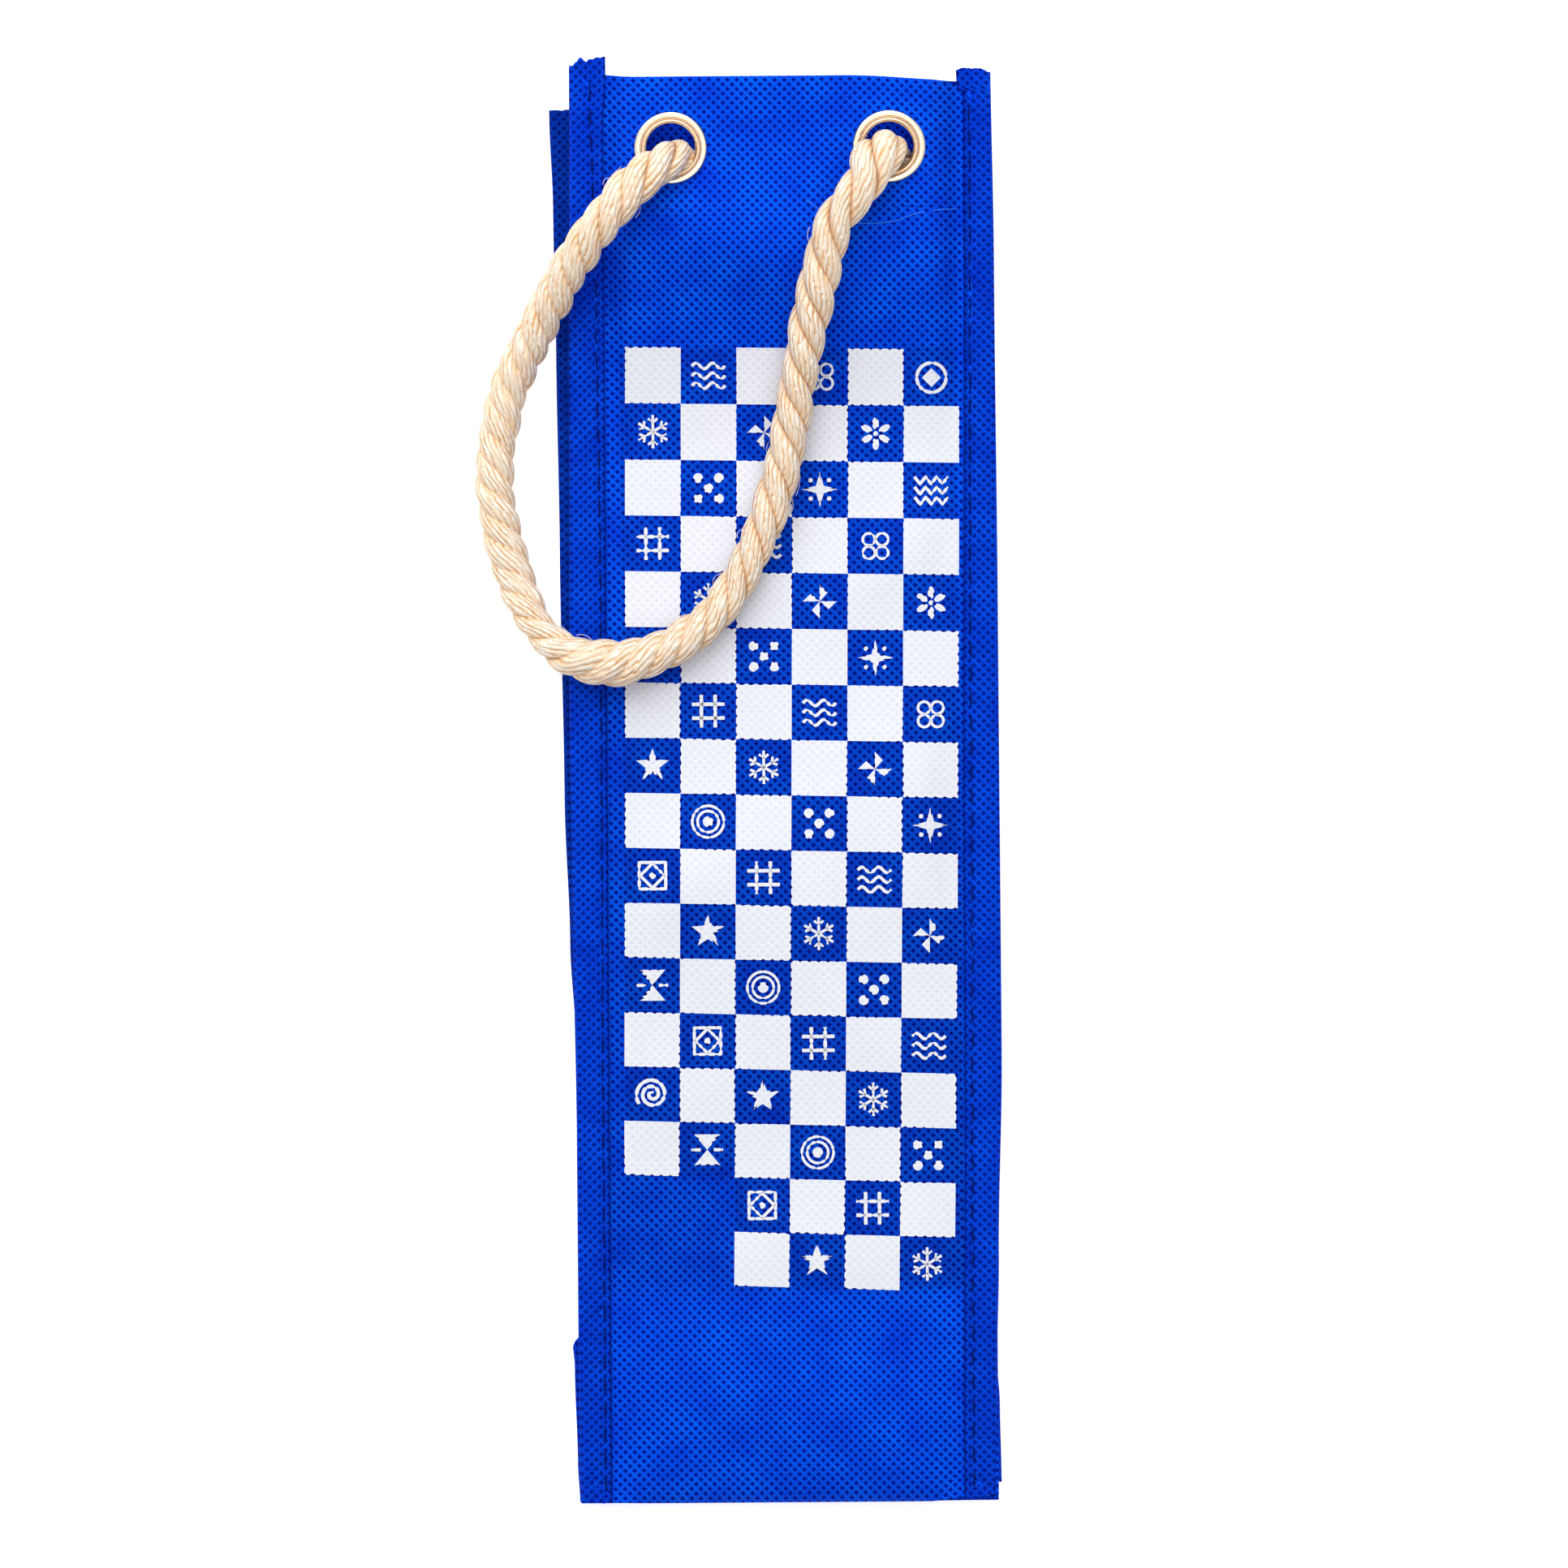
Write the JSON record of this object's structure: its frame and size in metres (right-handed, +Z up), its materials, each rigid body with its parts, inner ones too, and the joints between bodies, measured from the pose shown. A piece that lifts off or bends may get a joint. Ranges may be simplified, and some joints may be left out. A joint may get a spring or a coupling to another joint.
{
  "type": "bottle gift bag",
  "caption": "Bottle gift bag of blue non-woven cloth, folded flat, with bound side seams, metal eyelets and a cotton rope handle.",
  "frame": {"origin": "under the middle of the folded bag's bounding box, on the floor it lies on, without the rope and its knots", "axes": "+Y from the base towards the mouth, +X to the right of the front panel, +Z up out of the front panel"},
  "size_m": [0.1269, 0.3546, 0.031],
  "materials": {
    "cloth": "dot-embossed non-woven polypropylene, royal blue, white checked print on the front",
    "tape": "dot-embossed non-woven polypropylene tape, royal blue",
    "eyelet_metal": "pale gold plated, polished",
    "rope": "three-strand natural cotton rope"
  },
  "bodies": {
    "back": {"back_panel": "cloth", "back_left_binding": "tape", "back_right_binding": "tape", "back_left_eyelet": "eyelet_metal", "back_right_eyelet": "eyelet_metal", "back_left_washer": "eyelet_metal", "back_right_washer": "eyelet_metal"},
    "back_lower": {"back_lower_panel": "cloth", "back_lower_left_binding": "tape", "back_lower_right_binding": "tape"},
    "base": {"base_panel": "cloth", "base_left_binding": "tape", "base_right_binding": "tape"},
    "left_base_triangle": {"left_base_triangle": "cloth"},
    "right_base_triangle": {"right_base_triangle": "cloth"},
    "left_gusset_rear": {"left_gusset_rear": "cloth"},
    "left_gusset_front": {"left_gusset_front": "cloth"},
    "right_gusset_rear": {"right_gusset_rear": "cloth"},
    "right_gusset_front": {"right_gusset_front": "cloth"},
    "front": {"front_panel": "cloth", "front_left_binding": "tape", "front_right_binding": "tape", "front_left_eyelet": "eyelet_metal", "front_right_eyelet": "eyelet_metal", "front_left_washer": "eyelet_metal", "front_right_washer": "eyelet_metal", "left_knot": "rope", "right_knot": "rope"},
    "handle": {"rope_handle": "rope"}
  },
  "joints": [
    {"name": "bag_opening", "type": "hinge", "parent": "back", "child": "left_gusset_rear", "pos_m": [-0.0417, 0.00271, 0.00489], "axis": [0, -1, 0.0055], "range_deg": [0, 90]},
    {"name": "left_gusset_crease", "type": "hinge", "parent": "left_gusset_rear", "child": "left_gusset_front", "pos_m": [-0.0017, 0.00271, 0.00559], "axis": [0, -1, 0.0055], "range_deg": [-180, 0]},
    {"name": "left_front_seam", "type": "hinge", "parent": "left_gusset_front", "child": "front", "pos_m": [-0.0417, 0.00272, 0.00629], "axis": [0, -1, 0.0055], "range_deg": [0, 90]},
    {"name": "right_rear_seam", "type": "hinge", "parent": "back", "child": "right_gusset_rear", "pos_m": [0.0463, 0.00271, 0.00489], "axis": [0, 1, -0.0055], "range_deg": [0, 90]},
    {"name": "right_gusset_crease", "type": "hinge", "parent": "right_gusset_rear", "child": "right_gusset_front", "pos_m": [0.0063, 0.00271, 0.00559], "axis": [0, 1, -0.0055], "range_deg": [-180, 0]},
    {"name": "back_crease", "type": "hinge", "parent": "back", "child": "back_lower", "pos_m": [0.0023, -0.1373, 0.00427], "axis": [-1, 0, 0], "range_deg": [0, 180]},
    {"name": "base_rear_edge", "type": "hinge", "parent": "back_lower", "child": "base", "pos_m": [0.0023, -0.09731, 0.00195], "axis": [-1, 0, 0], "range_deg": [-90, 0]},
    {"name": "left_base_edge", "type": "hinge", "parent": "base", "child": "left_base_triangle", "pos_m": [-0.041, -0.13731, 0.00147], "axis": [0, -1, 0.0055], "range_deg": [0, 90]},
    {"name": "right_base_edge", "type": "hinge", "parent": "base", "child": "right_base_triangle", "pos_m": [0.0456, -0.13731, 0.00147], "axis": [0, 1, -0.0055], "range_deg": [0, 90]},
    {"name": "handle_swing", "type": "hinge", "parent": "front", "child": "handle", "pos_m": [0.0023, 0.14526, 0.03156], "axis": [-1, 0, 0], "range_deg": [0, 180]}
  ],
  "couplings": [
    {"joint": "left_gusset_crease", "follows": "bag_opening", "ratio": -2},
    {"joint": "left_front_seam", "follows": "bag_opening", "ratio": 1},
    {"joint": "right_rear_seam", "follows": "bag_opening", "ratio": 1},
    {"joint": "right_gusset_crease", "follows": "bag_opening", "ratio": -2},
    {"joint": "back_crease", "follows": "bag_opening", "ratio": 2},
    {"joint": "base_rear_edge", "follows": "bag_opening", "ratio": -1},
    {"joint": "left_base_edge", "follows": "bag_opening", "ratio": 1},
    {"joint": "right_base_edge", "follows": "bag_opening", "ratio": 1}
  ]
}
